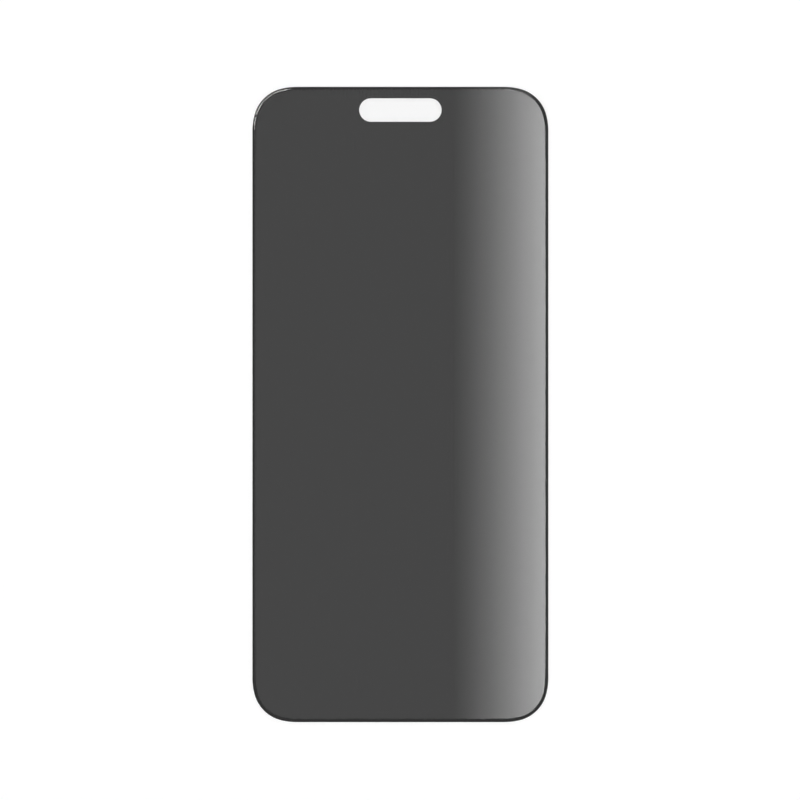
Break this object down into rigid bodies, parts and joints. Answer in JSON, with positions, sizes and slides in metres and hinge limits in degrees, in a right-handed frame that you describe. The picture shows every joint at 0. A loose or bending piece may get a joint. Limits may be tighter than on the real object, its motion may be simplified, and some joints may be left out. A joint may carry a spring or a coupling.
{
  "type": "phone privacy screen protector",
  "caption": "Thin flat screen protector: clear tempered glass with a rounded rim, bonded over a dark louvre film that has a round-ended sensor window near its top edge.",
  "frame": {"origin": "middle of the film's underside, the face that lies on the screen", "axes": "+X to the right seen from the front, +Y along the sheet towards the sensor window, +Z out of the glass"},
  "size_m": [0.075, 0.161, 0.0006],
  "materials": {
    "clear_glass": "polished face and rim, ground wall",
    "louvre_film": "dark, smooth"
  },
  "bodies": {
    "root": {"cover_glass": "clear_glass", "privacy_film": "louvre_film"}
  },
  "joints": []
}
